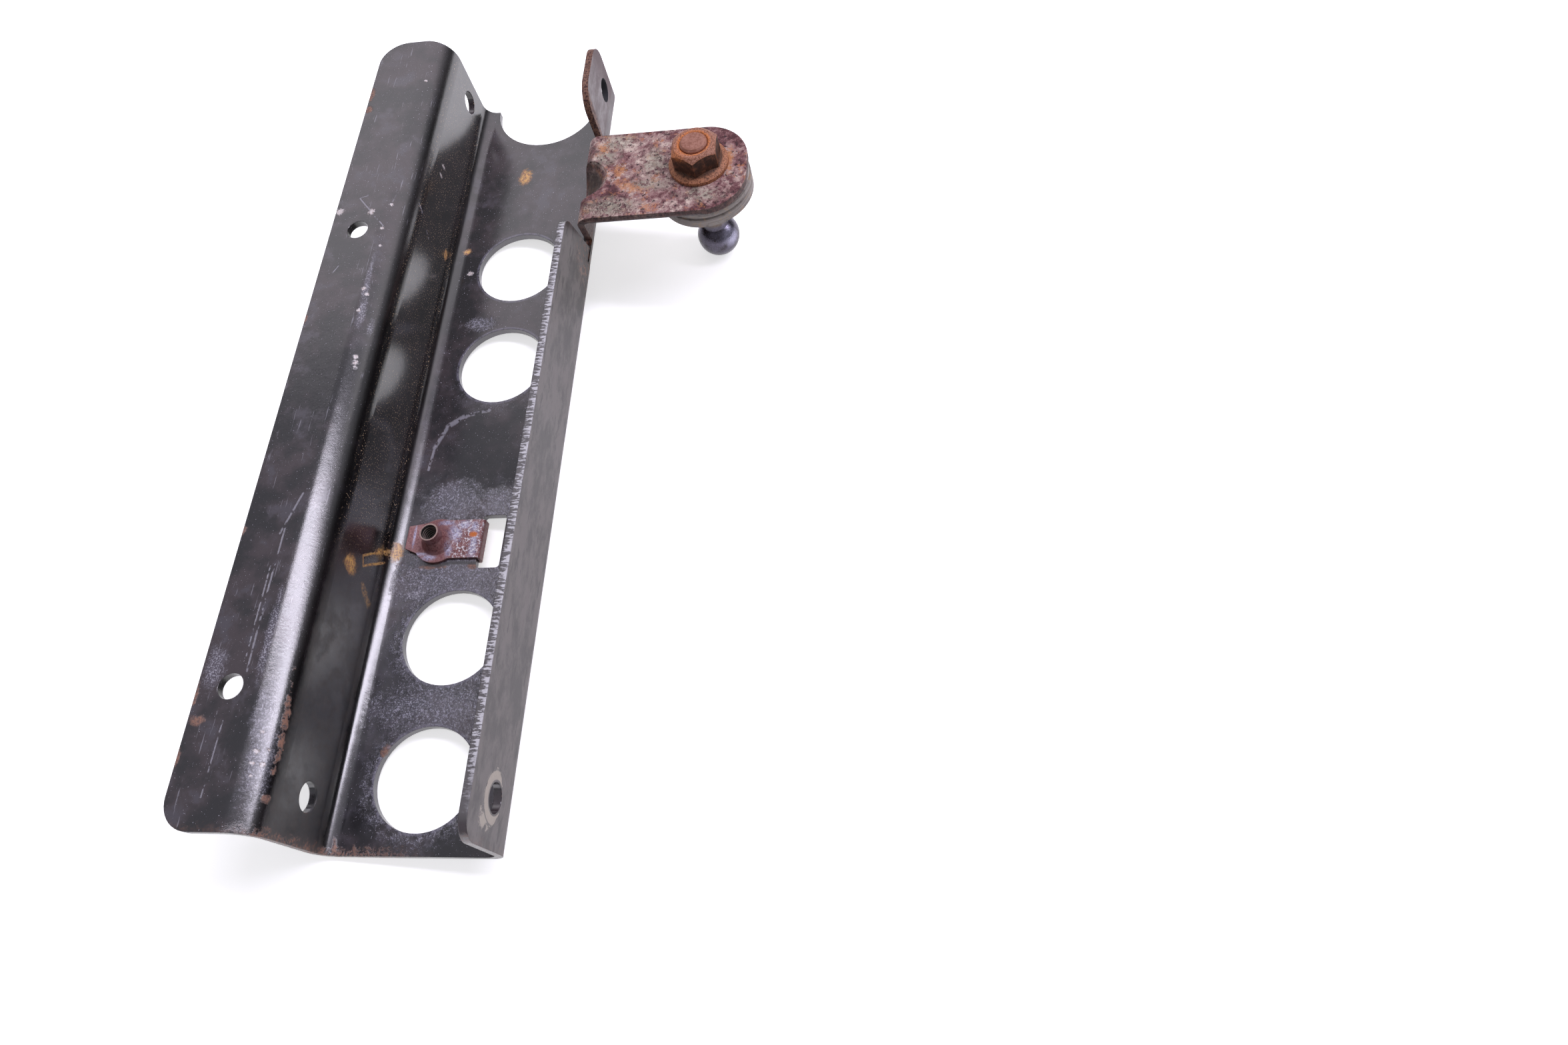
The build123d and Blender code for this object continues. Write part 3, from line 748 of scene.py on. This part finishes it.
def studFinish():
    f = Finish("studSteel")
    grain = f.noise(1.8, 4.0, 0.7, shift=3)
    ragged = f.noise(0.4, 5.0, 0.7, shift=19)
    turned = f.noise(2.0, 3.0, 0.6, (0.05, 0.05, 2.5), 7)
    rounded, edge = f.edges(stud["round"])
    disc = f.blend(f.step(turned, 0.35, 0.65), stud["disc"], stud["turned"])
    disc = f.blend(f.step(ragged, 0.52, 0.64) * 0.6, disc, stud["darkMarks"])
    disc = f.blend(f.step(ragged, 0.45, 0.36) * 0.5, disc, stud["rust"])
    ball = f.blend(f.step(ragged, 0.45, 0.65), stud["ball"], stud["ballDark"])
    # painted highlight: a pale lilac spot on the ball's upper right
    paintedHighlight = f.blot(*stud["paintedHighlightPlace"], 0.9, ragged, 0.8)
    ball = f.blend(paintedHighlight * 0.8, ball, stud["paintedHighlight"])
    onBall = f.step(f.z, stud["ballTop"] + 2, stud["ballTop"] - 1)
    colour = f.blend(onBall, disc, ball)
    collar = f.step(f.z, stud["collarTop"], stud["collarTop"] - 1) * (1 - onBall)
    colour = f.blend(collar * 0.7, colour, f.blend(ragged, *stud["collar"]))
    tip = f.step(f.z, stud["endBottom"], stud["endBottom"] + 1)
    end = f.blend(f.step(grain * 0.5 + ragged * 0.5, 0.42, 0.58), *stud["end"])
    end = f.blend(edge * 0.7, end, stud["endEdge"])
    colour = f.blend(tip, colour, end)
    return f.finish(f.shade({
        "Base Color": colour,
        "Roughness": grain * 0.2 + 0.40 - onBall * 0.22 + tip * 0.1,
        "Metallic": onBall * 0.9,
        "Normal": f.bump(grain * 0.035 + turned * 0.03 + ragged * 0.08, rounded),
    }))


washer = {
    "pale": (0.47, 0.42, 0.385),
    "dark": (0.19, 0.155, 0.135),
    "rust": (0.36, 0.19, 0.11),
    "edge": (0.46, 0.42, 0.37),
    "round": 0.3,
}


def washerFinish():
    f = Finish("washerSteel")
    grain = f.noise(1.8, 4.0, 0.7, shift=23)
    ragged = f.noise(0.35, 5.0, 0.7, shift=37)
    lines = f.noise(1.4, 3.0, 0.6, (0.06, 0.06, 2.0), 41)
    rounded, edge = f.edges(washer["round"])
    colour = f.blend(f.step(lines, 0.38, 0.62), washer["pale"], washer["dark"])
    colour = f.blend(f.step(ragged, 0.54, 0.66) * 0.7, colour, washer["rust"])
    colour = f.blend(edge * 0.5, colour, washer["edge"])
    return f.finish(f.shade({
        "Base Color": colour,
        "Roughness": grain * 0.2 + 0.45,
        "Metallic": 0.15,
        "Normal": f.bump(grain * 0.05 + ragged * 0.1, rounded),
    }))


clip = {
    "deep": (0.070, 0.026, 0.028),
    "brown": (0.215, 0.082, 0.080),
    "mauve": (0.30, 0.150, 0.146),
    "pale": (0.40, 0.26, 0.26),
    "slate": (0.30, 0.29, 0.42),
    "blue": (0.66, 0.68, 0.88),
    "white": (0.80, 0.78, 0.82),
    "orange": (0.62, 0.17, 0.03),
    "orangePlace": ((1.5, -13.4, 2.9), (1.1, 0.8, 1)),
    "worn": (0.40, 0.29, 0.25),
    "bore": ((0.008, 0.006, 0.006), (0.40, 0.32, 0.28)),  # painted shade on its wall, and a painted highlight on the ridge's crest
    "tube": (-8.6, -15.0, 0),
    "leafTop": (5.0, 3.6),
    "whiteFrom": (-6, -2.5),
    "rimTop": (7.9, 8.15),
    "boreReach": (2.2, 2.08),
    "crestHighlightReach": (2.02, 1.86),
    "round": 0.2,
    "bluePatches": [  # centre and reach
        ((-3.9, -13.0, 2.9), (1.7, 2.6, 2)), ((-1.6, -10.6, 2.9), (2.2, 1.2, 2)),
        ((-6.4, -9.7, 2.9), (1.8, 0.7, 2)), ((-10.0, -20.0, 2.9), (1.9, 0.8, 2)),
        ((-15.2, -13.5, 2.9), (0.3, 2.8, 2)), ((-12.6, -19.0, 2.9), (1.6, 0.5, 2)),
        ((1.9, -16.5, 2.9), (0.9, 4.4, 2)), ((-5.0, -17.2, 2.9), (0.9, 2.0, 2)),
        ((1.4, -11.0, 2.9), (1.0, 1.6, 2)),
    ],
}


def clipFinish():
    f = Finish("clipSteel")
    grain = f.noise(2.6, 4.0, 0.72, shift=29)
    ragged = f.noise(0.8, 5.0, 0.75, shift=43)
    rounded, edge = f.edges(clip["round"])
    colour = f.ramp(ragged * 0.5 + grain * 0.5, [
        (0.36, clip["deep"]), (0.46, clip["brown"]), (0.56, clip["mauve"]), (0.68, clip["pale"]),
    ])
    top = f.step(f.z, *clip["leafTop"]) * f.step(f.nz, 0.3, 0.8)
    blue = f.blots(clip["bluePatches"], 0.7, ragged, 4.0) * top * f.step(grain, 0.38, 0.48)
    bloom = f.blend(f.step(ragged, 0.42, 0.56), clip["slate"], clip["blue"])
    colour = f.blend(blue * 0.85, colour, bloom)
    white = f.step(f.noise(1.2, 4.0, 0.75, shift=67), 0.53, 0.57) * top
    white = white * f.step(f.x, *clip["whiteFrom"])
    colour = f.blend(white * 0.9, colour, clip["white"])
    colour = f.blend(f.blot(*clip["orangePlace"], 0.4, grain, 2.2), colour, clip["orange"])
    away = f.ring(clip["tube"])
    rimTop = f.step(f.z, *clip["rimTop"]) * f.step(f.nz, 0.4, 0.8)
    worn = rimTop.most(edge * 0.5) * f.step(grain, 0.35, 0.5)
    colour = f.blend(worn, colour, clip["worn"])
    # painted shade down the tube's bore, with a painted highlight on the thread's crests
    inside = f.step(away, *clip["boreReach"])
    bore = f.blend(f.step(away, *clip["crestHighlightReach"]), *clip["bore"])
    colour = f.blend(inside, colour, bore)
    return f.finish(f.shade({
        "Base Color": colour,
        "Roughness": grain * 0.25 + 0.30,
        "Metallic": 0.15,
        "Normal": f.bump(grain * 0.05 + ragged * 0.10, rounded),
    }))


thread = {
    "middle": (-0.0086, -0.0150),  # of the clip's tube
    "bottom": 0.0022,
    "pitch": 0.0008,
    "turns": 7,
    "radius": 0.00197,
    "size": 0.00014,
    "steps": 32,
    "merge": 0.000001,
}

# the thread inside the clip's tube: a small triangle wound up the bore
bpy.ops.object.select_all(action="DESELECT")
bpy.ops.mesh.primitive_circle_add(
    vertices=3, radius=thread["size"], location=(thread["radius"], 0, 0),
    rotation=(math.radians(90), 0, 0)
)
ridge = bpy.context.object
ridge.name = "clip_thread_ridge"
bpy.ops.object.transform_apply(location=True, rotation=True, scale=True)
winding = ridge.modifiers.new("winding", "SCREW")
winding.axis = "Z"
winding.screw_offset = thread["pitch"]
winding.iterations = thread["turns"]
winding.steps = winding.render_steps = thread["steps"]
bpy.ops.object.modifier_apply(modifier=winding.name)
bpy.ops.object.mode_set(mode="EDIT")
bpy.ops.mesh.select_all(action="SELECT")
bpy.ops.mesh.remove_doubles(threshold=thread["merge"])
bpy.ops.mesh.fill_holes(sides=3)
bpy.ops.mesh.select_all(action="SELECT")
bpy.ops.mesh.normals_make_consistent(inside=False)
bpy.ops.transform.translate(value=(*thread["middle"], thread["bottom"]))
bpy.ops.object.mode_set(mode="OBJECT")
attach(ridge, "root")
print("thread in the clip's tube:", len(ridge.data.polygons), "faces")

finishes = {
    "bracket": paintFinish(),
    "ball_stud": studFinish(),
    "stud_washer": washerFinish(),
    "flange_nut": nutFinish(),
    "clip_nut": clipFinish(),
}
for name, material in finishes.items():
    nodes[name].data.materials.clear()
    nodes[name].data.materials.append(material)
ridge.data.materials.append(finishes["clip_nut"])
print("finishes on the pieces")

table = {
    "slope": 8.04,  # degrees that the table falls towards the ball
    "touch": (-0.01390, -0.00086),  # x and z where the clip's lower leaf lies on it
    "size": 12.0,
    "white": 0.9,
    "lift": 0.6,
}

bpy.ops.object.select_all(action="DESELECT")
bpy.ops.mesh.primitive_plane_add(size=table["size"])
floor = bpy.context.object
floor.name = "table"
floor.rotation_euler = (0, math.radians(table["slope"]), 0)
floor.location = (table["touch"][0], 0, table["touch"][1])
bpy.ops.object.transform_apply(location=True, rotation=True, scale=True)


def tableFinish():
    # plain white, which also shows as white itself and in reflections
    f = Finish("tableWhite")
    rays = ("Is Camera Ray", "Is Glossy Ray", "Is Transmission Ray")
    seen = f.union(f.make("ShaderNodeLightPath", output=ray) for ray in rays)
    return f.finish(f.shade({
        "Base Color": (table["white"],) * 3 + (1.0,),
        "Roughness": 0.9,
        "Specular IOR Level": 0.0,
        "Emission Color": f.blend(seen, (0.0, 0.0, 0.0), (1.0, 1.0, 1.0)),
        "Emission Strength": table["lift"],
    }))


floor.data.materials.append(tableFinish())

lamps = {
    "softbox": {
        "middle": (0.424, 0.292, 0.857), "end": (0.87, 0.153, 0.469), "distance": 1.0,
        "size": (1.42, 0.19), "glow": 10.5, "colour": (0.90, 0.86, 1.0),
    },
    "backWall": {
        "middle": (0.05, 0.70, 0.62), "end": (1.0, 0.70, 0.62), "distance": 1.3,
        "size": (2.3, 0.55), "glow": 0.75, "colour": (1.0, 0.95, 1.0),
    },
}


def addLamp(name, spec):
    # a rectangle of light whose long side runs from middle to end
    light = bpy.data.lights.new(name, "AREA")
    light.shape = "RECTANGLE"
    light.size, light.size_y = spec["size"]
    light.energy = math.pi * spec["size"][0] * spec["size"][1] * spec["glow"]
    light.color = spec["colour"]
    lamp = bpy.data.objects.new(name, light)
    bpy.context.scene.collection.objects.link(lamp)
    back = Vector(spec["middle"]).normalized()
    along = Vector(spec["end"]) - Vector(spec["middle"])
    along = (along - back * along.dot(back)).normalized()
    turn = Matrix((along, back.cross(along), back)).transposed()
    lamp.matrix_world = Matrix.Translation(back * spec["distance"]) @ turn.to_4x4()


for name, spec in lamps.items():
    addLamp(name, spec)

# the room: dark near the horizon, plain grey above
room = {"low": (0.05, 0.048, 0.051), "high": (0.35, 0.345, 0.38), "rise": (0.05, 0.32)}

world = bpy.data.worlds.new("room")
bpy.context.scene.world = world
world.use_nodes = True
sky = Nodes(world.node_tree)
direction = sky.make("ShaderNodeTexCoord", output="Generated")
rise = sky.step(sky.split(direction)[2], *room["rise"])
glow = sky.ramp(rise, [(0.0, room["low"]), (1.0, room["high"])])
background = world.node_tree.nodes["Background"]
world.node_tree.links.new(glow.socket, background.inputs["Color"])

view = {
    "place": (0.124237, -0.133213, 0.242973),
    "turn": (26.6192, 8.0154, 1.9573),
    "lens": 24.0243,
    "film": 36.0,
    "near": 0.01,
}

cameraData = bpy.data.cameras.new("camera")
cameraData.lens = view["lens"]
cameraData.sensor_width = view["film"]
cameraData.sensor_fit = "HORIZONTAL"
cameraData.clip_start = view["near"]
camera = bpy.data.objects.new("camera", cameraData)
bpy.context.scene.collection.objects.link(camera)
camera.location = view["place"]
camera.rotation_euler = [math.radians(angle) for angle in view["turn"]]
bpy.context.scene.camera = camera
bpy.context.scene.view_settings.view_transform = "Standard"
print("table, light and camera")
